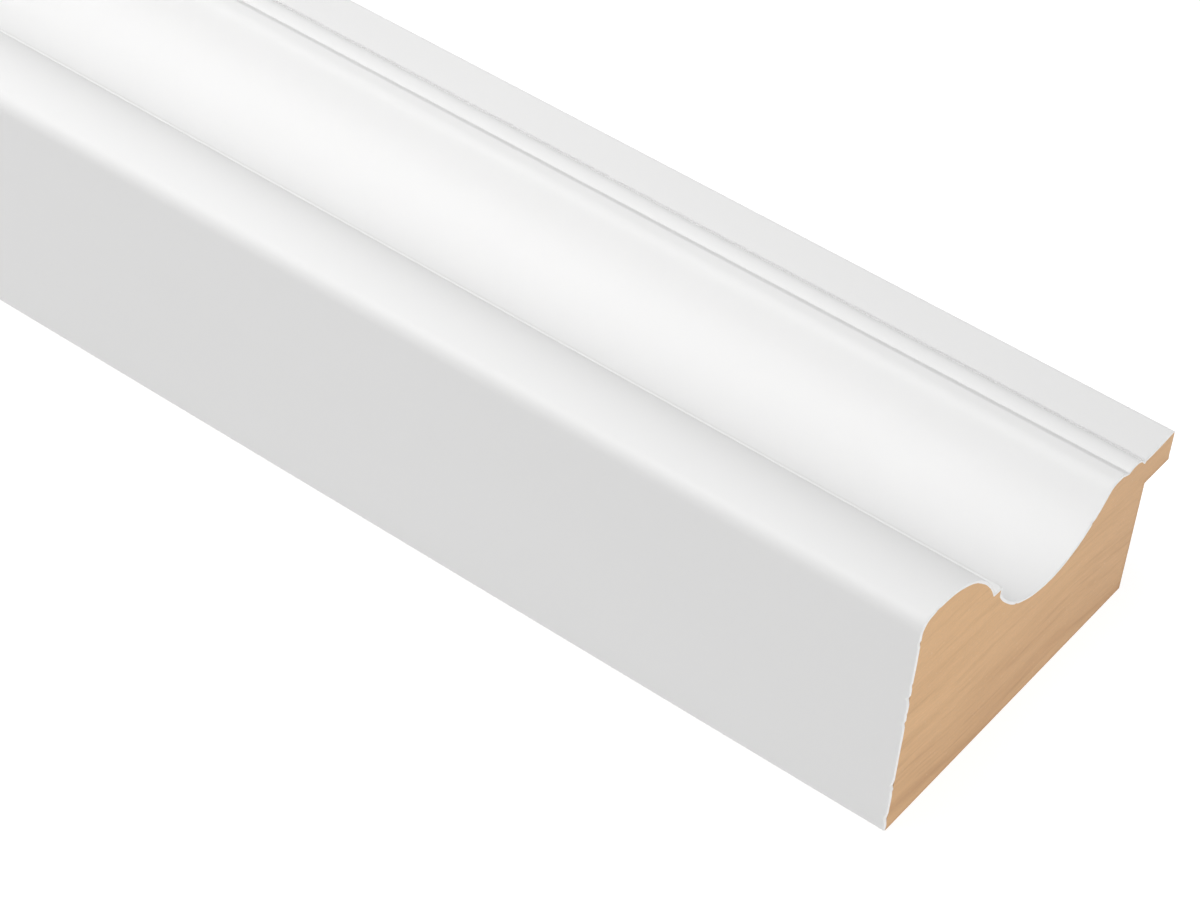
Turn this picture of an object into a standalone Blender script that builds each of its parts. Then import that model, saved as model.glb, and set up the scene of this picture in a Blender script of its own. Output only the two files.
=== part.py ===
"""A length of picture frame moulding in painted timber, cut square at both ends.

The moulding lies on its flat back. +X runs along it, +Y crosses it from the tall outer side to the
sight edge, and +Z is up out of its face. The origin is the middle of the back. Sizes are in metres.
"""

import math

import bmesh
import bpy
from mathutils import Vector

MM = 0.001

# Overall
LENGTH = 210.0 * MM
WIDTH = 68.0 * MM

# Rebate behind the sight edge, for the glass, the picture and its backing
REBATE_WIDTH = 6.6 * MM
REBATE_HEIGHT = 20.8 * MM

# Flat lip over the rebate, as far as the bottom of the quirk beside the bead
LIP_THICKNESS = 5.6 * MM
LIP_WIDTH = 8.25 * MM
LIP_EDGE_RADIUS = 0.5 * MM

# Quirk: the small step where the bead runs in below the lip. Its width is the lean of its wall
QUIRK_DEPTH = 0.5 * MM
QUIRK_WIDTH = 0.1 * MM

# Bead: a broad round that rises from its valley on the cove's side, and a tighter one that falls into a
# flank down to the quirk. Its top is measured above the lip
BEAD_WIDTH = 4.6 * MM
BEAD_RISE = 1.1 * MM
BEAD_TOP_FROM_VALLEY = 1.9 * MM
BEAD_NEAR_RADIUS = 5.2 * MM
BEAD_FAR_RADIUS = 2.9 * MM

# Ease: the swell at the top of the cove. A round rises from the cove's flank to a narrow level top,
# and a tight one falls from there towards the bead's valley. The level top is measured above the lip
EASE_RADIUS = 3.4 * MM
EASE_RISE = 1.7 * MM
EASE_FLAT_WIDTH = 1.35 * MM
EASE_FLAT_FROM_VALLEY = 1.8 * MM
EASE_EDGE_RADIUS = 0.6 * MM

# Cove: what is left of the timber under its lowest line, and the straight flank up to the ease
COVE_FLOOR_THICKNESS = 20.85 * MM
COVE_FLANK_LENGTH = 3.0 * MM

# Ledge: the narrow flat between the crest and the cove, its top measured above the lip
LEDGE_RISE = 4.0 * MM
LEDGE_WIDTH = 2.1 * MM
LEDGE_STEP = 1.7 * MM
LEDGE_EDGE_RADIUS = 0.6 * MM

# Crest: the tall round beside the outer side, its top measured above the ledge
CREST_RISE = 9.6 * MM
CREST_RADIUS = 16.3 * MM
CREST_FROM_OUTER_SIDE = 4.75 * MM
SHOULDER_RADIUS = 2.5 * MM

# Eased lower edge of the outer side
FOOT_RADIUS = 0.6 * MM

# How finely a round is divided
ARC_CHORD = 0.5 * MM
ARC_LEAST_STEPS = 5
WELD_DISTANCE = 0.001 * MM
SHARP_ANGLE = math.radians(20.0)
FACING_LIMIT = 0.99

# Heights worked out from the sizes above
LIP_TOP = REBATE_HEIGHT + LIP_THICKNESS
LEDGE_TOP = LIP_TOP + LEDGE_RISE
HEIGHT = LEDGE_TOP + CREST_RISE

# Finishes
PAINT_COLOUR = (0.83, 0.83, 0.83, 1.0)
PAINT_ROUGHNESS = 0.38
TIMBER_COLOUR = (0.60, 0.40, 0.23, 1.0)
TIMBER_ROUGHNESS = 0.75

EAST, NORTH, WEST, SOUTH = 0.0, math.pi / 2, math.pi, 3 * math.pi / 2


def on_circle(centre, radius, angle):
    """The point of a circle at an angle from +Y towards +Z."""
    return centre + radius * Vector((math.cos(angle), math.sin(angle)))


def direction(start, end):
    """The angle of the line from one point to another."""
    return math.atan2(end.y - start.y, end.x - start.x)


def arc(centre, radius, start, end):
    """Points along a circular arc, both ends included."""
    steps = max(ARC_LEAST_STEPS, math.ceil(radius * abs(end - start) / ARC_CHORD))
    return [on_circle(centre, radius, start + (end - start) * k / steps) for k in range(steps + 1)]


def cove_circle(foot, ease):
    """Centre and radius of the cove's round, and the angle where its straight flank begins.

    It starts at the foot of the ledge's step, touches the line of the cove floor and runs through the
    flank smoothly into the ease. Both ends give the radius for a chosen centre, and setting them equal
    leaves a quadratic for the centre's place across the moulding.
    """
    foot_height = foot.y - COVE_FLOOR_THICKNESS
    ease_height = ease.y - COVE_FLOOR_THICKNESS
    ease_top = ease_height + EASE_RADIUS
    square = 1.0 / foot_height - 1.0 / ease_top
    linear = 2.0 * (ease.x / ease_top - foot.x / foot_height)
    constant = foot.x**2 / foot_height + foot_height - ease.x**2 / ease_top - ease_height + EASE_RADIUS
    constant += COVE_FLANK_LENGTH**2 / ease_top
    across = -2.0 * constant / (linear + math.sqrt(linear**2 - 4.0 * square * constant))
    radius = ((foot.x - across) ** 2 + foot_height**2) / (2.0 * foot_height)
    centre = Vector((across, COVE_FLOOR_THICKNESS + radius))
    flank_turn = math.atan(COVE_FLANK_LENGTH / (radius + EASE_RADIUS))
    return centre, radius, direction(centre, ease) - flank_turn


def crest_outline():
    """From the foot of the outer side over the shoulder and the crest to the ledge's edge."""
    crest = Vector((CREST_FROM_OUTER_SIDE, HEIGHT - CREST_RADIUS))
    inside = CREST_RADIUS - SHOULDER_RADIUS
    sideways = CREST_FROM_OUTER_SIDE - SHOULDER_RADIUS
    shoulder = Vector((SHOULDER_RADIUS, crest.y + math.sqrt(inside**2 - sideways**2)))
    blend = direction(crest, shoulder)
    crest_end = math.asin((LEDGE_TOP - crest.y) / CREST_RADIUS)
    ledge_edge = on_circle(crest, CREST_RADIUS, crest_end).x + LEDGE_WIDTH

    points = arc(Vector((FOOT_RADIUS, FOOT_RADIUS)), FOOT_RADIUS, SOUTH, WEST)
    points += arc(shoulder, SHOULDER_RADIUS, WEST, blend)
    points += arc(crest, CREST_RADIUS, blend, crest_end)[1:]
    corner = Vector((ledge_edge - LEDGE_EDGE_RADIUS, LEDGE_TOP - LEDGE_EDGE_RADIUS))
    points += arc(corner, LEDGE_EDGE_RADIUS, NORTH, EAST)
    return points


def falling_round(top, foot, radius):
    """A round that is level at its top and falls until a straight flank leaves it for its foot.

    Returns its centre, its radius and the angle where the flank begins. A round too large to leave
    room for a flank is limited to the one that ends in the foot itself.
    """
    across, drop = foot.x - top.x, top.y - foot.y
    radius = min(radius, (across**2 + drop**2) / (2.0 * drop))
    centre = Vector((top.x, top.y - radius))
    lean = math.acos(min(1.0, radius / (foot - centre).length))
    return centre, radius, direction(centre, foot) + lean


def cove_outline(ledge_edge, valley):
    """From the foot of the ledge's step through the cove and over the ease towards the bead's valley."""
    foot = Vector((ledge_edge, LEDGE_TOP - LEDGE_STEP))
    flat_end = Vector((valley.x - EASE_FLAT_FROM_VALLEY, LIP_TOP + EASE_RISE))
    ease = Vector((flat_end.x - EASE_FLAT_WIDTH, flat_end.y - EASE_RADIUS))
    cove, radius, turn = cove_circle(foot, ease)
    edge, edge_radius, flank = falling_round(flat_end, valley, EASE_EDGE_RADIUS)
    points = arc(cove, radius, direction(cove, foot), turn)
    points += arc(ease, EASE_RADIUS, turn + math.pi, NORTH)
    return points + arc(edge, edge_radius, NORTH, flank)


def bead_outline(quirk):
    """Over the bead, from its valley on the cove's side down to the quirk.

    Its near round reaches a quarter turn back from the top at most, where it stands upright.
    """
    top = Vector((quirk.x - BEAD_WIDTH + BEAD_TOP_FROM_VALLEY, LIP_TOP + BEAD_RISE))
    near = Vector((top.x, top.y - BEAD_NEAR_RADIUS))
    valley = NORTH + math.asin(min(1.0, BEAD_TOP_FROM_VALLEY / BEAD_NEAR_RADIUS))
    far, far_radius, flank = falling_round(top, quirk, BEAD_FAR_RADIUS)
    points = arc(near, BEAD_NEAR_RADIUS, valley, NORTH)
    points += arc(far, far_radius, NORTH, flank)[1:]
    points.append(quirk)
    return points


def lip_outline(quirk):
    """From the quirk along the lip, round its edge and through the rebate to the back."""
    points = [Vector((quirk.x + QUIRK_WIDTH, LIP_TOP))]
    edge = Vector((WIDTH - LIP_EDGE_RADIUS, LIP_TOP - LIP_EDGE_RADIUS))
    points += arc(edge, LIP_EDGE_RADIUS, NORTH, EAST)
    rebate_wall = WIDTH - REBATE_WIDTH
    points += [Vector((WIDTH, REBATE_HEIGHT)), Vector((rebate_wall, REBATE_HEIGHT))]
    points.append(Vector((rebate_wall, 0.0)))
    return points


def section_outline():
    """The closed outline of the section, with y measured from the outer side and z from the back."""
    quirk = Vector((WIDTH - LIP_WIDTH, LIP_TOP - QUIRK_DEPTH))
    crest, bead = crest_outline(), bead_outline(quirk)
    cove = cove_outline(crest[-1].x, bead[0])
    return crest + cove + bead + lip_outline(quirk)


def make_material(name, colour, roughness):
    """A Principled material with one colour."""
    material = bpy.data.materials.new(name)
    material.use_nodes = True
    shader = material.node_tree.nodes["Principled BSDF"]
    shader.inputs["Base Color"].default_value = colour
    shader.inputs["Roughness"].default_value = roughness
    shader.inputs["Metallic"].default_value = 0.0
    material.diffuse_color = colour
    return material


def make_section_curve(collection):
    """The outline as a filled flat curve, thickened along the moulding's length."""
    curve = bpy.data.curves.new("section", "CURVE")
    curve.dimensions = "2D"
    curve.fill_mode = "BOTH"
    curve.extrude = LENGTH / 2
    outline = section_outline()
    spline = curve.splines.new("POLY")
    spline.points.add(len(outline) - 1)
    for point, place in zip(spline.points, outline):
        point.co = (place.x - WIDTH / 2, place.y, 0.0, 1.0)
    spline.use_cyclic_u = True
    section = bpy.data.objects.new("section", curve)
    # The curve's own X, Y and Z become the moulding's Y, Z and X.
    section.rotation_euler = (math.pi / 2, 0.0, math.pi / 2)
    collection.objects.link(section)
    bpy.context.view_layer.update()
    return section


def is_bare(face):
    """True for the saw cuts at the ends, the back, and the rebate's wall and ceiling."""
    saw_cut = abs(face.normal.x) > FACING_LIMIT
    underside = face.normal.z < -FACING_LIMIT
    rebate_wall = face.normal.y > FACING_LIMIT and face.calc_center_median().z < REBATE_HEIGHT
    return saw_cut or underside or rebate_wall


def make_moulding(collection):
    """One closed solid from the section curve, painted on its face and bare where it is cut."""
    section = make_section_curve(collection)
    depsgraph = bpy.context.evaluated_depsgraph_get()
    mesh = bpy.data.meshes.new_from_object(section.evaluated_get(depsgraph))
    mesh.name = "frame_moulding"
    mesh.transform(section.matrix_world)
    bpy.data.objects.remove(section)

    mesh.materials.clear()
    mesh.materials.append(make_material("white_paint", PAINT_COLOUR, PAINT_ROUGHNESS))
    mesh.materials.append(make_material("bare_timber", TIMBER_COLOUR, TIMBER_ROUGHNESS))
    solid = bmesh.new()
    solid.from_mesh(mesh)
    bmesh.ops.remove_doubles(solid, verts=solid.verts, dist=WELD_DISTANCE)
    for face in solid.faces:
        face.material_index = 1 if is_bare(face) else 0
    solid.to_mesh(mesh)
    solid.free()
    mesh.shade_smooth()
    mesh.set_sharp_from_angle(angle=SHARP_ANGLE)

    moulding = bpy.data.objects.new("frame_moulding", mesh)
    collection.objects.link(moulding)
    return moulding


def main():
    for old in list(bpy.data.objects):
        bpy.data.objects.remove(old)
    collection = bpy.data.collections.new("picture_frame_moulding")
    bpy.context.scene.collection.children.link(collection)
    make_moulding(collection)


main()
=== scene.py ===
import math

import bmesh
import bpy
import numpy as np
from mathutils import Matrix, Vector, noise
from mathutils.geometry import delaunay_2d_cdt


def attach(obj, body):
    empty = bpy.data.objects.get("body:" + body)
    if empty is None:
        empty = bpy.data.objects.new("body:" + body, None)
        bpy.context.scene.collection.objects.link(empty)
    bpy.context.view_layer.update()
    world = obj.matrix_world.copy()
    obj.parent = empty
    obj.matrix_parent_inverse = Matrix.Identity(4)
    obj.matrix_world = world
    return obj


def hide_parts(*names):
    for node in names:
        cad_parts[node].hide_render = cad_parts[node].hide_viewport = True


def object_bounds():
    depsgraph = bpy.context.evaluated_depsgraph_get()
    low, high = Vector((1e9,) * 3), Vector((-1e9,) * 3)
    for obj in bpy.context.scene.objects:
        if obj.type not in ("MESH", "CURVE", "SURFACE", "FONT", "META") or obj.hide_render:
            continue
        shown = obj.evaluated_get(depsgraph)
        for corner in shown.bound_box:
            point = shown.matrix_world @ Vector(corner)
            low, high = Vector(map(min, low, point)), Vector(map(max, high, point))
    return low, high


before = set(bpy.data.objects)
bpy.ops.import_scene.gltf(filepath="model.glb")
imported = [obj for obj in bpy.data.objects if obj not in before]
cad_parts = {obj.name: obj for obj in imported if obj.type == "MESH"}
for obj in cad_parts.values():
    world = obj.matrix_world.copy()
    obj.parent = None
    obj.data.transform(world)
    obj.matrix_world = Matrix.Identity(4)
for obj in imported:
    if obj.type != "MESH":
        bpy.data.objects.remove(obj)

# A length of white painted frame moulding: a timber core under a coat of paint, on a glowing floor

cad_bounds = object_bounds()

MM = 0.001

# Reading the CAD section
WELD = 0.001 * MM

# A larger turn between two of the solid's edges is a corner, and a longer edge is a straight
CORNER_TURN = math.radians(25.0)
STRAIGHT_FROM = 0.56 * MM

# Spacing of the points of the fine outline
FINE = 0.025 * MM

# Softening of every arris and inner corner
ARRIS_SPREAD = 0.03 * MM
NORMAL_SPREAD = 0.25 * MM

# Spacing of the mesh round the section
CHORD_ERROR = 0.002 * MM
LEAST_SPACING = 0.05 * MM
MOST_SPACING = 0.60 * MM

# A bend is measured over this many points of the fine outline to either side, and is never quite nought
BEND_REACH = 2
LEAST_BEND = 1e-6

# How far apart the noise of two seeds lies
SEED_SHIFT = 17.3

# The coat of paint and its ground, thinner towards the cove floor, over the bead and at the sight edge
COAT = 0.44 * MM
COAT_IN_COVE = 0.35 * MM
COAT_ON_BEAD = 0.24 * MM
COAT_AT_SIGHT = 0.16 * MM
COVE_TAPER = 8.0 * MM
THIN_BEFORE_FLOOR = 4.5 * MM
BEAD_TAPER = 1.2 * MM
QUIRK_TAPER = 0.7 * MM
SIGHT_TAPER = 5.0 * MM
SIGHT_THIN = 5.6 * MM
COAT_UNEVENNESS = 0.07 * MM
UNEVEN_LENGTH = 3.0 * MM
COAT_THIN_EDGE = 0.03 * MM
COAT_TAPER = 1.0 * MM
COAT_SINK = 0.04 * MM
COAT_ARRIS = 0.16 * MM
RIPPLE = 0.008 * MM
RIPPLE_ALONG = 14.0 * MM
RIPPLE_ACROSS = 2.5 * MM
COAT_SHARP_ANGLE = math.radians(60.0)

# Where shade is painted into the paint's colour, greying it: round the bead's valley, up the quirk's wall,
# and on the ledge
VALLEY_SHADE_BEFORE = 1.5 * MM
VALLEY_SHADE_AFTER = 0.2 * MM
QUIRK_SHADE_REACH = 0.65 * MM
LEDGE_SHADE_REACH = 4.5 * MM
LEDGE_SHADE = 0.9
SHADE_FADE = 0.3 * MM

# The saw cuts
CUT_RECESS = 0.03 * MM
CUT_RAGGEDNESS = 0.05 * MM
CUT_RAG_LENGTH = 0.7 * MM
CUT_RAG_SHARE = 0.35
CUT_BEVEL = 0.05 * MM
CUT_RELIEF = 0.012 * MM
CUT_RELIEF_SIZE = 0.9 * MM
CUT_GRID = 0.75 * MM
CUT_JITTER = 0.2
CUT_MARGIN = 0.35 * MM
CUT_TOLERANCE = 1e-9
CUT_SEEDS = (11, 12)
CUT_SHARP_ANGLE = math.radians(28.0)
ARRIS_TONE = 0.6
CHIP_REACH = 2.4 * MM
CHIP_SLANT = 0.35

# Rows of the mesh, measured from a saw cut
END_ROWS = [d * MM for d in (0.0, 0.015, 0.05, 0.1, 0.17, 0.35, 0.7, 1.3, 2.4)]
ROWS_IN_BEVEL = 3
ROW_SPACING = 4.0 * MM

# Chips in the coat's cut edge at the near end: height on the outer side, width, depth
SIDE_CHIPS = [
    (2.8 * MM, 1.6 * MM, 0.35 * MM),
    (9.5 * MM, 1.1 * MM, 0.40 * MM),
    (21.2 * MM, 0.9 * MM, 0.35 * MM),
    (26.0 * MM, 1.2 * MM, 0.45 * MM),
    (28.3 * MM, 0.7 * MM, 0.20 * MM),
    (36.4 * MM, 0.8 * MM, 0.25 * MM),
]

# Small stray chips round both cut edges, at shares of the painted outline; their sizes in millimetres
STRAY_CHIPS = 9
STRAY_SEED = 7
STRAY_PLACES = (0.05, 0.95)
STRAY_WIDTHS = (0.4, 1.0)
STRAY_DEPTHS = (0.08, 0.22)

# Camera, in the photograph's frame of 1200 by 900, with its lens and sensor in millimetres
CAMERA_PLACE = Vector((241.68 * MM, -316.63 * MM, 349.40 * MM))
CAMERA_AZIMUTH = math.radians(33.590)
CAMERA_ELEVATION = math.radians(42.530)
CAMERA_ROLL = math.radians(5.508)
CAMERA_LENS = 104.66
SENSOR = 36.0
CAMERA_CLIP = (0.01, 20.0)

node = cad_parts["frame_moulding"]


def read_section():
    """The solid's section as a loop of (y, z), from the foot of the outer side upwards."""
    solid = bmesh.new()
    solid.from_mesh(node.data)
    bmesh.ops.remove_doubles(solid, verts=solid.verts, dist=WELD)
    end = max(vert.co.x for vert in solid.verts)
    neighbours = {}
    for edge in solid.edges:
        facing = sorted(abs(face.normal.x) for face in edge.link_faces)
        if all(end - vert.co.x < WELD for vert in edge.verts) and facing[0] < 0.5 < facing[-1]:
            pair = [(vert.co.y, vert.co.z) for vert in edge.verts]
            neighbours.setdefault(pair[0], []).append(pair[1])
            neighbours.setdefault(pair[1], []).append(pair[0])
    solid.free()
    lowest = min(place[1] for place in neighbours)
    start = min(place for place in neighbours if place[1] - lowest < WELD)
    loop = [start, min(neighbours[start])]
    while True:
        following = [place for place in neighbours[loop[-1]] if place != loop[-2]][0]
        if following == start:
            return np.array(loop)
        loop.append(following)


def unit(vectors):
    """The vectors brought to length 1."""
    return vectors / np.linalg.norm(vectors, axis=-1, keepdims=True)


def trace(loop):
    """The loop as points FINE apart, with its rounds as smooth curves through the CAD's points.

    Returns the points and, for each CAD point, its place in the list.
    """
    step = np.roll(loop, -1, axis=0) - loop
    length = np.linalg.norm(step, axis=1)
    after = step / length[:, None]
    before = np.roll(after, 1, axis=0)
    length_before = np.roll(length, 1)
    turn = np.arccos(np.clip(np.sum(before * after, axis=1), -1.0, 1.0))
    leaving, arriving = after.copy(), before.copy()
    for k in range(len(loop)):
        if turn[k] > CORNER_TURN:
            continue
        if length_before[k] > STRAIGHT_FROM:
            along = before[k]
        elif length[k] > STRAIGHT_FROM:
            along = after[k]
        else:
            along = unit(length[k] * before[k] + length_before[k] * after[k])
        leaving[k] = arriving[k] = along
    points, places = [], []
    for k in range(len(loop)):
        following = (k + 1) % len(loop)
        places.append(len(points))
        count = max(1, round(length[k] / FINE))
        t = (np.arange(count) / count)[:, None]
        if length[k] > STRAIGHT_FROM:
            stretch = loop[k] + t * step[k]
        else:
            stretch = (
                (2 * t**3 - 3 * t**2 + 1) * loop[k]
                + (t**3 - 2 * t**2 + t) * length[k] * leaving[k]
                + (3 * t**2 - 2 * t**3) * loop[following]
                + (t**3 - t**2) * length[k] * arriving[following]
            )
        points.extend(stretch)
    return np.array(points), places


def ease_in(share):
    """A share held between 0 and 1, with a smooth start and finish."""
    share = min(1.0, max(0.0, share))
    return share * share * (3.0 - 2.0 * share)


def hollow_corners(loop):
    """The loop's inner corners: its direction turns left there, by more than a round's steps do."""
    before = unit(loop - np.roll(loop, 1, axis=0))
    after = np.roll(before, -1, axis=0)
    cross = before[:, 0] * after[:, 1] - before[:, 1] * after[:, 0]
    turn = np.arctan2(cross, np.sum(before * after, axis=1))
    return [k for k in range(len(loop)) if turn[k] > CORNER_TURN]


def soften(values, spread):
    """A closed list of points or vectors FINE apart, blurred along its length."""
    reach = math.ceil(3 * spread / FINE)
    total = np.zeros_like(values)
    weight = 0.0
    for k in range(-reach, reach + 1):
        share = math.exp(-0.5 * (k * FINE / spread) ** 2)
        total += share * np.roll(values, k, axis=0)
        weight += share
    return total / weight


def outward(points):
    """Unit vectors out of a closed loop that runs clockwise as seen with y to the right."""
    along = np.roll(points, -1, axis=0) - np.roll(points, 1, axis=0)
    return unit(np.stack([-along[:, 1], along[:, 0]], axis=1))


def pick_columns(points, normals, first, last):
    """Places between two of a fine loop's points, closer together where it bends more."""
    change = np.roll(normals, -BEND_REACH, axis=0) - np.roll(normals, BEND_REACH, axis=0)
    bend = np.maximum(np.linalg.norm(change, axis=1) / (2 * BEND_REACH * FINE), LEAST_BEND)
    spacing = np.clip(np.sqrt(8.0 * CHORD_ERROR / bend), LEAST_SPACING, MOST_SPACING)
    need = np.concatenate([[0.0], np.cumsum(FINE / spacing[first:last])])
    count = math.ceil(need[-1])
    wanted = np.linspace(0.0, need[-1], count + 1)
    return sorted(set(first + np.round(np.interp(wanted, need, np.arange(len(need)))).astype(int)))


def smooth_noise(x, y, seed):
    """Repeatable noise from about -1 to 1."""
    return noise.noise(Vector((x, y, SEED_SHIFT * seed)))


def grid(rows, columns, closed):
    """Faces of a grid of points stored row after row."""
    faces = []
    for r in range(rows - 1):
        for c in range(columns if closed else columns - 1):
            d = (c + 1) % columns
            faces.append((r * columns + c, r * columns + d, (r + 1) * columns + d, (r + 1) * columns + c))
    return faces


def row_places(low, high):
    """Distances along the moulding for the mesh's rows, close together near both saw cuts."""
    inner_low, inner_high = low + END_ROWS[-1], high - END_ROWS[-1]
    count = math.ceil((inner_high - inner_low) / ROW_SPACING)
    middle = list(np.linspace(inner_low, inner_high, count + 1)[1:-1])
    return [low + d for d in END_ROWS] + middle + [high - d for d in reversed(END_ROWS)]


def make_object(name, mesh, material):
    """A mesh as a named object in the scene, with its material."""
    mesh.materials.append(material)
    piece = bpy.data.objects.new(name, mesh)
    bpy.context.scene.collection.objects.link(piece)
    return piece


class Section:
    """The painted outline, the timber's outline under it, and where the paint begins and ends."""

    def __init__(self):
        loop = read_section()
        points, places = trace(loop)
        widest = max(range(len(loop)), key=lambda k: (round(loop[k][0] / WELD), -loop[k][1]))
        self.paint_end = places[widest]
        self.points = soften(points, ARRIS_SPREAD)
        self.count = len(self.points)
        normals = outward(self.points)
        self.normals = unit(soften(normals, NORMAL_SPREAD))
        # The last three inner corners on the face are the step's foot, the valley and the quirk
        on_face = [places[k] for k in hollow_corners(loop) if k < widest]
        self.step_foot, self.valley, self.quirk = on_face[-3:]
        floor = self.step_foot + np.argmin(self.points[self.step_foot:self.valley, 1])
        self.thinnest = floor - round(THIN_BEFORE_FLOOR / FINE)
        self.thickness = np.zeros(self.count)
        for k in range(self.paint_end + 1):
            edge = min(k, self.paint_end - k) * FINE
            uneven = COAT_UNEVENNESS / COAT * smooth_noise(k * FINE / UNEVEN_LENGTH, 0.0, 1)
            full = self.full_coat(k) * (1.0 + uneven)
            self.thickness[k] = COAT_THIN_EDGE + (full - COAT_THIN_EDGE) * ease_in(edge / COAT_TAPER)
        self.painted = pick_columns(self.points, normals, 0, self.paint_end)
        self.bare = pick_columns(self.points, normals, self.paint_end, self.count - 1)[1:]

    def full_coat(self, k):
        """The coat's depth where it isn't feathered out at either end."""
        bead = ease_in(1.0 - (self.valley - k) * FINE / BEAD_TAPER)
        bead *= ease_in(1.0 - (k - self.quirk) * FINE / QUIRK_TAPER)
        sight = ease_in(1.0 - ((self.paint_end - k) * FINE - SIGHT_THIN) / SIGHT_TAPER)
        cove = ease_in(1.0 - abs(k - self.thinnest) * FINE / COVE_TAPER)
        thinner = (COAT - COAT_ON_BEAD) * bead
        thinner += (COAT - COAT_AT_SIGHT) * sight
        thinner += (COAT - COAT_IN_COVE) * cove
        return COAT - thinner

    def shade(self, k):
        """How much shade is painted into the paint's colour at the two grooves beside the bead and on the
        ledge, from 0 to 1.
        """
        spans = (
            (self.valley - VALLEY_SHADE_BEFORE / FINE, self.valley + VALLEY_SHADE_AFTER / FINE, 1.0),
            (self.quirk, self.quirk + QUIRK_SHADE_REACH / FINE, 1.0),
            (self.step_foot - LEDGE_SHADE_REACH / FINE, self.step_foot, LEDGE_SHADE),
        )
        shade = 0.0
        for start, end, strength in spans:
            outside = max(start - k, k - end) * FINE
            shade = max(shade, strength * ease_in(0.5 - outside / SHADE_FADE))
        return shade

    def inset(self, k, depth):
        """The outline's point k, moved inwards."""
        return self.points[k] - depth * self.normals[k]


def chip_depths(section, x_end):
    """How far the coat's cut edge is broken back at each painted column."""
    rng = np.random.default_rng(STRAY_SEED + (1 if x_end > 0 else 2))
    chips = list(SIDE_CHIPS) if x_end > 0 else []
    for _ in range(STRAY_CHIPS):
        place = rng.uniform(*STRAY_PLACES) * section.paint_end * FINE
        chips.append((place, rng.uniform(*STRAY_WIDTHS) * MM, rng.uniform(*STRAY_DEPTHS) * MM))
    depths = []
    for k in section.painted:
        s = k * FINE
        depth = CUT_RAGGEDNESS * max(0.0, CUT_RAG_SHARE + smooth_noise(s / CUT_RAG_LENGTH, x_end / MM, 2))
        for place, width, chip in chips:
            off = abs(s - place) / (width / 2)
            if off < 1.0:
                depth += chip * (1.0 - off * off)
        depths.append(depth)
    return np.array(depths)


def arris_fall(from_cut):
    """How far the coat's rounded cut edge falls away at a distance from the cut."""
    short = max(0.0, COAT_ARRIS - from_cut)
    return COAT_ARRIS - math.sqrt(COAT_ARRIS**2 - short**2)


def make_coat(section, material):
    """The coat of paint: a thin closed skin over the outer side, the face and the sight edge."""
    low, high = cad_bounds[0][0], cad_bounds[1][0]
    rows = row_places(low, high)
    columns = len(section.painted)
    broken = {1: chip_depths(section, high), -1: chip_depths(section, low)}
    verts = []
    for layer in ("outer", "inner"):
        for x in rows:
            end = 1 if x > 0 else -1
            from_cut = min(x - low, high - x)
            fade = max(0.0, 1.0 - from_cut / CHIP_REACH)
            for c, k in enumerate(section.painted):
                back = broken[end][c] * fade
                share = min(1.0, section.thickness[k] / COAT)
                if layer == "outer":
                    ripple = smooth_noise(x / RIPPLE_ALONG, k * FINE / RIPPLE_ACROSS, 3)
                    depth = RIPPLE * (0.5 + 0.5 * ripple)
                    depth += arris_fall(from_cut) * share
                else:
                    depth = section.thickness[k] + COAT_SINK * share
                    back *= CHIP_SLANT
                y, z = section.inset(k, depth)
                verts.append((x - end * back, y, z))
    size = len(rows) * columns
    skin = grid(len(rows), columns, False)
    faces = [face[::-1] for face in skin]
    faces += [tuple(size + v for v in face) for face in skin]
    last = len(rows) - 1
    for c in range(columns - 1):
        faces.append((c, size + c, size + c + 1, c + 1)[::-1])
        top = last * columns + c
        faces.append((top, size + top, size + top + 1, top + 1))
    for r in range(last):
        a, b = r * columns, (r + 1) * columns
        faces.append((a, size + a, size + b, b))
        a, b = a + columns - 1, b + columns - 1
        faces.append((a, size + a, size + b, b)[::-1])
    mesh = bpy.data.meshes.new("paint_coat")
    mesh.from_pydata(verts, [], faces)
    # Painted shade for each column: how far the paint is greyed in the grooves and on the ledge
    shades = [section.shade(k) for k in section.painted]
    attribute = mesh.attributes.new("painted_shade", "FLOAT", "POINT")
    attribute.data.foreach_set("value", shades * (2 * len(rows)))
    mesh.shade_smooth()
    mesh.set_sharp_from_angle(angle=COAT_SHARP_ANGLE)
    return make_object("paint_coat", mesh, material)


def cut_face(outline, seed):
    """Points and triangles that fill an outline, with a jittered grid inside it.

    Returns the points, with the outline's own first, the triangles, and the outline's count.
    """
    count = len(outline)
    low, high = outline.min(0), outline.max(0)
    inner = outline - CUT_MARGIN * outward(outline)
    rng = np.random.default_rng(seed)
    inside = []
    rows = int((high[1] - low[1]) / CUT_GRID)
    for r in range(1, rows):
        z = low[1] + r * CUT_GRID
        cross = []
        for k in range(count):
            (y0, z0), (y1, z1) = inner[k], inner[(k + 1) % count]
            if (z0 > z) != (z1 > z):
                cross.append(y0 + (z - z0) * (y1 - y0) / (z1 - z0))
        cross.sort()
        for left, right in zip(cross[0::2], cross[1::2]):
            steps = int((right - left) / CUT_GRID)
            for s in range(steps):
                y = left + (s + 0.5 + 0.5 * (r % 2)) * CUT_GRID
                if y < right - CUT_GRID / 4:
                    jitter = rng.uniform(-CUT_JITTER, CUT_JITTER, 2) * CUT_GRID
                    inside.append((y + jitter[0], z + jitter[1]))
    everything = [Vector(p) for p in outline] + [Vector(p) for p in inside]
    edges = [(k, (k + 1) % count) for k in range(count)]
    # Output type 1 keeps only the triangles inside the outline
    points, _, faces, _, _, _ = delaunay_2d_cdt(everything, edges, [list(range(count))], 1, CUT_TOLERANCE)
    return points, faces, count


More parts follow.
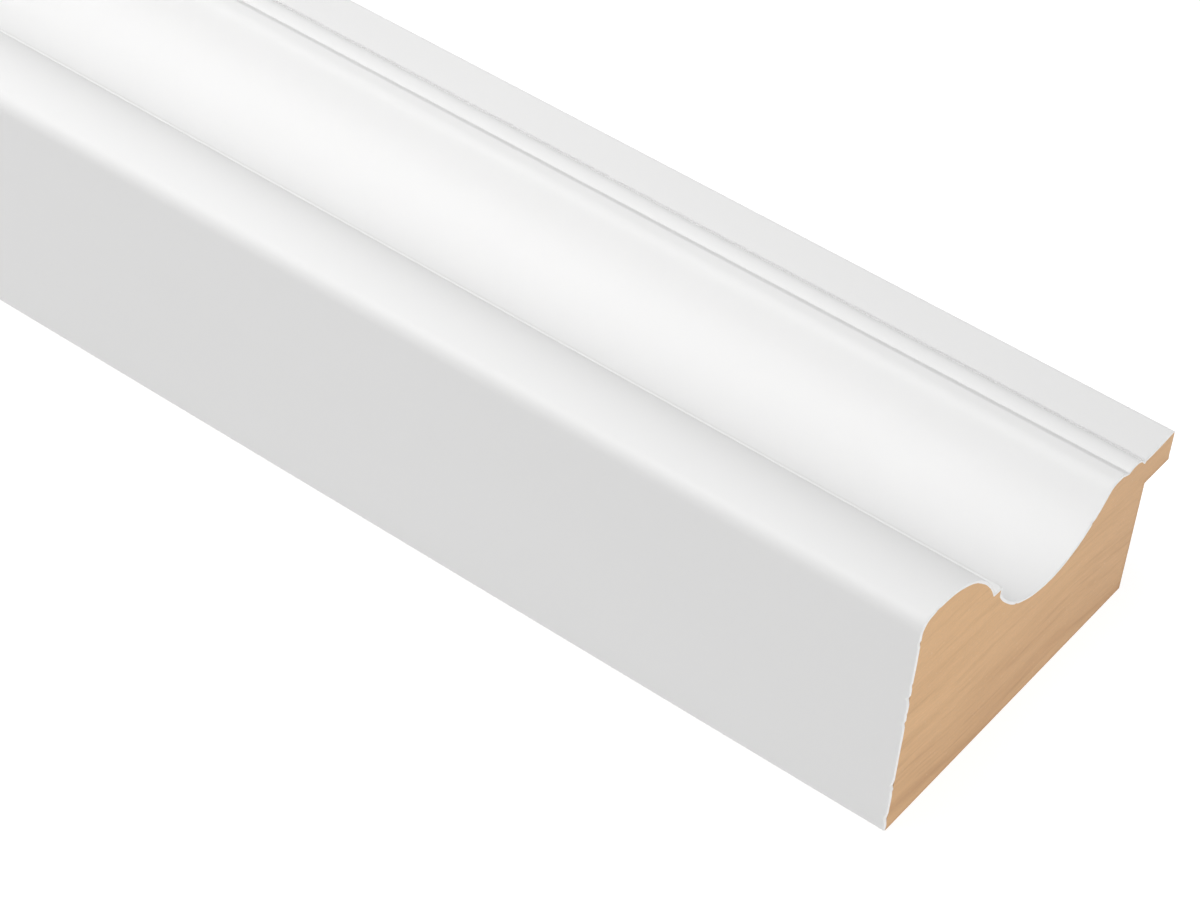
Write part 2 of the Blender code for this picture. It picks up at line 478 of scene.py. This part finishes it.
def make_core(section, material):
    """The timber: bare at both saw cuts, on the back and in the rebate."""
    low, high = cad_bounds[0][0] + CUT_RECESS, cad_bounds[1][0] - CUT_RECESS
    outline = [section.inset(k, section.thickness[k]) for k in section.painted]
    outline += [section.points[k] for k in section.bare]
    outline = np.array(outline)
    bare = np.array([0.0] * len(section.painted) + [1.0] * len(section.bare))
    count = len(outline)
    cut = outline - (CUT_BEVEL * bare)[:, None] * outward(outline)
    rows = [low + CUT_BEVEL, *row_places(low, high)[ROWS_IN_BEVEL:-ROWS_IN_BEVEL], high - CUT_BEVEL]
    verts = []
    edge_values = []
    for x in rows:
        verts.extend((x, y, z) for y, z in outline)
        edge_values.extend([ARRIS_TONE if x in (rows[0], rows[-1]) else 0.0] * count)
    faces = [face[::-1] for face in grid(len(rows), count, True)]
    for x, facing, seed in ((low, -1, CUT_SEEDS[0]), (high, 1, CUT_SEEDS[1])):
        points, triangles, rim = cut_face(cut, seed)
        base = len(verts)
        for k, point in enumerate(points):
            relief = 0.0
            if k >= rim:
                relief = smooth_noise(point.x / CUT_RELIEF_SIZE, point.y / CUT_RELIEF_SIZE, seed)
            verts.append((x + CUT_RELIEF * relief, point.x, point.y))
            edge_values.append(float(bare[k]) if k < rim else 0.0)
        for triangle in triangles:
            a, b, c = (points[v] for v in triangle)
            turns_left = (b - a).cross(c - a) > 0
            ordered = triangle if turns_left == (facing > 0) else triangle[::-1]
            faces.append(tuple(base + v for v in ordered))
        start = 0 if facing < 0 else (len(rows) - 1) * count
        for k in range(count):
            n = (k + 1) % count
            band = (start + k, start + n, base + n, base + k)
            faces.append(band if facing < 0 else band[::-1])
    mesh = bpy.data.meshes.new("timber_core")
    mesh.from_pydata(verts, [], faces)
    attribute = mesh.attributes.new("arris", "FLOAT", "POINT")
    attribute.data.foreach_set("value", edge_values)
    mesh.shade_smooth()
    mesh.set_sharp_from_angle(angle=CUT_SHARP_ANGLE)
    return make_object("timber_core", mesh, material)


class Graph:
    """A material's nodes, added and linked in one call each."""

    def __init__(self, name):
        self.material = bpy.data.materials.new(name)
        self.material.use_nodes = True
        self.nodes = self.material.node_tree.nodes
        self.links = self.material.node_tree.links
        self.shader = self.nodes["Principled BSDF"]

    def add(self, kind, inputs=None, **settings):
        """A node of a kind, with its settings, and its inputs as values or as other nodes' outputs."""
        made = self.nodes.new("ShaderNode" + kind)
        for key, value in settings.items():
            setattr(made, key, value)
        for key, value in (inputs or {}).items():
            if isinstance(value, bpy.types.NodeSocket):
                self.links.new(value, made.inputs[key])
            else:
                made.inputs[key].default_value = value
        return made

    def millimetres(self):
        """The place in the object, in millimetres."""
        place = self.add("TexCoord").outputs["Object"]
        return self.add("VectorMath", {"Vector": place, "Scale": 1.0 / MM}, operation="SCALE").outputs[0]

    def math(self, operation, *values, clamp=False):
        """A Math node's output."""
        return self.add("Math", dict(enumerate(values)), operation=operation, use_clamp=clamp).outputs[0]

    def vector(self, operation, *values):
        """A Vector Math node's output."""
        return self.add("VectorMath", dict(enumerate(values)), operation=operation).outputs[0]

    def noise(self, place, scales, detail=2.0, roughness=0.5, distortion=0.0):
        """Noise from 0 to 1 over a place in millimetres, with waves to the millimetre for each axis."""
        scaled = self.vector("MULTIPLY", place, scales)
        inputs = {"Vector": scaled, "Scale": 1.0, "Detail": detail, "Roughness": roughness}
        inputs["Distortion"] = distortion
        return self.add("TexNoise", inputs).outputs["Fac"]

    def between(self, value, low, high, to_low=0.0, to_high=1.0, smooth=True):
        """A value brought from one range to another, and held at the ends."""
        inputs = {"Value": value, "From Min": low, "From Max": high, "To Min": to_low, "To Max": to_high}
        kind = "SMOOTHSTEP" if smooth else "LINEAR"
        return self.add("MapRange", inputs, interpolation_type=kind).outputs["Result"]

    def mix(self, share, first, second, blend="MIX"):
        """Two colours mixed by a share: the Mix node's inputs 6 and 7, and its output 2."""
        made = self.add("Mix", data_type="RGBA", blend_type=blend)
        for socket, value in ((0, share), (6, first), (7, second)):
            if isinstance(value, bpy.types.NodeSocket):
                self.links.new(value, made.inputs[socket])
            else:
                made.inputs[socket].default_value = value
        return made.outputs[2]

    def drive(self, key, socket):
        """Lets a node's output set one of the shader's inputs."""
        self.links.new(socket, self.shader.inputs[key])


def colour(red, green, blue):
    """An opaque colour."""
    return (red, green, blue, 1.0)


# Tones of the paint
DULLER_PAINT = colour(0.824, 0.823, 0.820)
BRIGHTER_PAINT = colour(0.840, 0.839, 0.837)
# Painted shade: the grey mixed into the paint in the grooves beside the bead and on the ledge
PAINTED_SHADE_GREY = colour(0.786, 0.785, 0.782)

# Tones of the timber
YELLOW_TIMBER = colour(0.658, 0.409, 0.211)
RED_TIMBER = colour(0.612, 0.382, 0.206)
DARK_BAND = colour(0.465, 0.262, 0.127)
DARK_STREAK = colour(0.445, 0.252, 0.127)
PALE_FLECK = colour(0.715, 0.515, 0.325)
TORN_ARRIS = colour(0.405, 0.212, 0.093)

# How far the timber's rings lean from level on the saw cut
RING_TILT = math.radians(4.3)


def make_paint():
    """Satin white paint, with the faintest unevenness of tone and sheen, and painted shade greying it in
    the grooves and on the ledge.
    """
    graph = Graph("satin_white_paint")
    place = graph.millimetres()
    cloud = graph.noise(place, (0.02, 0.05, 0.05), detail=2.0)
    tone = graph.mix(cloud, DULLER_PAINT, BRIGHTER_PAINT)
    # Painted shade greys the paint in the grooves beside the bead and on the ledge
    painted_shade = graph.add("Attribute", attribute_name="painted_shade").outputs["Fac"]
    tone = graph.mix(painted_shade, tone, PAINTED_SHADE_GREY)
    graph.drive("Base Color", tone)
    mottle = graph.noise(place, (0.25, 0.6, 0.6), detail=3.0)
    graph.drive("Roughness", graph.between(mottle, 0.25, 0.75, 0.54, 0.61, smooth=False))
    skin = graph.noise(place, (0.9, 1.3, 1.3), detail=2.0)
    bump = graph.add("Bump", {"Height": skin, "Strength": 0.25, "Distance": 0.004 * MM})
    graph.drive("Normal", bump.outputs["Normal"])
    graph.shader.inputs["IOR"].default_value = 1.45
    return graph.material


def make_timber():
    """Pale brown timber: end grain on the saw cuts, long grain on the back and in the rebate."""
    graph = Graph("bare_timber")
    place = graph.millimetres()

    # The rings lie nearly level on the cut, and sway a little
    turned = graph.add("VectorRotate", {"Vector": place, "Angle": RING_TILT}, rotation_type="X_AXIS")
    ringed = turned.outputs["Vector"]
    sway = graph.noise(ringed, (0.006, 0.03, 0.03), detail=1.0)
    lift = graph.math("MULTIPLY", graph.math("SUBTRACT", sway, 0.5), 5.0)
    shift = graph.add("CombineXYZ", {"Z": lift}).outputs["Vector"]
    ringed = graph.vector("ADD", ringed, shift)

    # Level bands, streaks and threads, each finer, then pores along the length and broad patches
    bands = graph.noise(ringed, (0.004, 0.022, 0.24), detail=2.0)
    streaks = graph.noise(ringed, (0.006, 0.05, 0.95), detail=3.0, roughness=0.55)
    threads = graph.noise(ringed, (0.02, 0.35, 3.2), detail=2.0)
    pores = graph.noise(place, (0.15, 3.4, 3.4), detail=2.0)
    patches = graph.noise(place, (0.01, 0.05, 0.05), detail=1.0)
    across = graph.add("SeparateXYZ", {"Vector": ringed})

    # Yellower at the outer side, redder at the sight edge, and darker just above the back
    redness = graph.between(across.outputs["Y"], -34.0, 34.0)
    patchiness = graph.math("MULTIPLY", graph.math("SUBTRACT", patches, 0.5), 0.5)
    redness = graph.math("ADD", redness, patchiness, clamp=True)
    base = graph.mix(redness, YELLOW_TIMBER, RED_TIMBER)
    near_base = graph.math("MULTIPLY", graph.between(across.outputs["Z"], 12.0, 5.0), 0.22)
    base = graph.mix(near_base, base, DARK_BAND)

    # Dark bands and streaks, stronger low down
    low_down = graph.between(across.outputs["Z"], 26.0, 0.0)
    dark_band = graph.between(bands, 0.42, 0.70)
    dark_band = graph.math("MULTIPLY", dark_band, graph.math("MULTIPLY_ADD", low_down, 0.35, 0.25))
    base = graph.mix(dark_band, base, DARK_BAND)
    dark_streak = graph.between(streaks, 0.50, 0.74)
    dark_streak = graph.math("MULTIPLY", dark_streak, graph.math("MULTIPLY_ADD", low_down, 0.30, 0.22))
    base = graph.mix(dark_streak, base, DARK_STREAK)

    # Threads and pores are a few hundredths lighter or darker
    thread = graph.between(threads, 0.3, 0.7, -0.035, 0.035, smooth=False)
    pore = graph.between(pores, 0.3, 0.7, -0.045, 0.045, smooth=False)
    level = graph.math("ADD", 1.0, graph.math("ADD", thread, pore))
    level = graph.add("CombineColor", {"Red": level, "Green": level, "Blue": level}).outputs["Color"]
    base = graph.mix(1.0, base, level, blend="MULTIPLY")

    # Pale flecks, and the torn arris at the saw cuts
    flecks = graph.noise(place, (0.3, 1.9, 2.6), detail=1.0)
    fleck = graph.between(flecks, 0.70, 0.80, 0.0, 0.5)
    base = graph.mix(fleck, base, PALE_FLECK)
    arris = graph.add("Attribute", attribute_name="arris").outputs["Fac"]
    base = graph.mix(graph.math("MULTIPLY", arris, 0.45), base, TORN_ARRIS)
    graph.drive("Base Color", base)

    # The pores change the sheen, and pores and streaks make the relief
    graph.drive("Roughness", graph.between(pores, 0.3, 0.7, 0.62, 0.78, smooth=False))
    height = graph.math("ADD", pores, graph.math("MULTIPLY", streaks, 0.6))
    bump = graph.add("Bump", {"Height": height, "Strength": 0.35, "Distance": 0.02 * MM})
    graph.drive("Normal", bump.outputs["Normal"])
    graph.shader.inputs["IOR"].default_value = 1.4
    return graph.material


def make_camera():
    """The photograph's camera: its place, its aim by azimuth and elevation, and its roll."""
    a, e, r = CAMERA_AZIMUTH, CAMERA_ELEVATION, CAMERA_ROLL
    forward = Vector((-math.sin(a) * math.cos(e), math.cos(a) * math.cos(e), -math.sin(e)))
    level = forward.cross(Vector((0.0, 0.0, 1.0))).normalized()
    over = level.cross(forward)
    right = level * math.cos(r) + over * math.sin(r)
    up = over * math.cos(r) - level * math.sin(r)
    data = bpy.data.cameras.new("camera")
    data.lens = CAMERA_LENS
    data.sensor_width = SENSOR
    data.clip_start, data.clip_end = CAMERA_CLIP
    camera = bpy.data.objects.new("camera", data)
    turn = Matrix((right, up, -forward)).transposed()
    camera.matrix_world = Matrix.Translation(CAMERA_PLACE) @ turn.to_4x4()
    bpy.context.scene.collection.objects.link(camera)
    bpy.context.scene.camera = camera


# Soft boxes: direction from the object, distance and side in metres, power in watts
SOFTBOXES = {
    "overhead": ((0.0, 0.0, 1.0), 1.0, 0.9, 4.85),
    "high_outer": ((-0.1, -0.75, 0.65), 1.0, 0.7, 0.58),
    "sight": ((0.0, 0.8, 0.6), 1.0, 0.7, 0.41),
    "close_over": ((-0.3, -0.25, 0.9), 0.5, 0.35, 1.33),
    "far_sight": ((-0.7, 0.8, 0.6), 0.7, 0.5, 0.22),
    "end_low": ((1.0, -0.2, 0.16), 0.8, 0.5, 2.23),
    "end_high": ((1.0, 0.1, 0.7), 1.0, 0.6, 0.89),
}
FLOOR_GLOW = 0.85
FLOOR_SIDE = 6.0
FLOOR_GAP = 0.2 * MM


def make_softbox(name, direction, distance, side, power):
    """A square light that faces the object and stays out of the camera's sight."""
    data = bpy.data.lights.new(name, "AREA")
    data.shape = "SQUARE"
    data.size = side
    data.energy = power
    light = bpy.data.objects.new(name, data)
    toward = Vector(direction).normalized()
    light.location = toward * distance
    light.rotation_euler = toward.to_track_quat("Z", "Y").to_euler()
    light.visible_camera = False
    bpy.context.scene.collection.objects.link(light)


def make_surroundings():
    """A pale floor that glows like a light table, and the soft boxes."""
    world = bpy.data.worlds.new("studio")
    world.use_nodes = True
    world.node_tree.nodes["Background"].inputs["Strength"].default_value = 0.0
    bpy.context.scene.world = world
    for name, (direction, distance, side, power) in SOFTBOXES.items():
        make_softbox(name, direction, distance, side, power)

    bpy.ops.mesh.primitive_plane_add(size=FLOOR_SIDE, location=(0.0, 0.0, -FLOOR_GAP))
    floor = bpy.context.object
    floor.name = "floor"
    graph = Graph("pale_floor")
    graph.shader.inputs["Base Color"].default_value = colour(0.3, 0.3, 0.3)
    graph.shader.inputs["Roughness"].default_value = 0.9
    graph.shader.inputs["Emission Color"].default_value = colour(1.0, 1.0, 1.0)
    graph.shader.inputs["Emission Strength"].default_value = FLOOR_GLOW
    floor.data.materials.append(graph.material)


def main():
    """Both pieces, with what they ride on and replace, and then the studio and the camera."""
    section = Section()
    core = make_core(section, make_timber())
    coat = make_coat(section, make_paint())
    for piece, slot in ((core, "bare_timber"), (coat, "white_paint")):
        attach(piece, "root")
        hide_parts("frame_moulding")
    make_surroundings()
    make_camera()
    bpy.context.scene.view_settings.view_transform = "Standard"
    for piece in (core, coat):
        triangles = sum(len(face.vertices) - 2 for face in piece.data.polygons)
        print(piece.name, len(piece.data.vertices), "points", triangles, "triangles")


main()
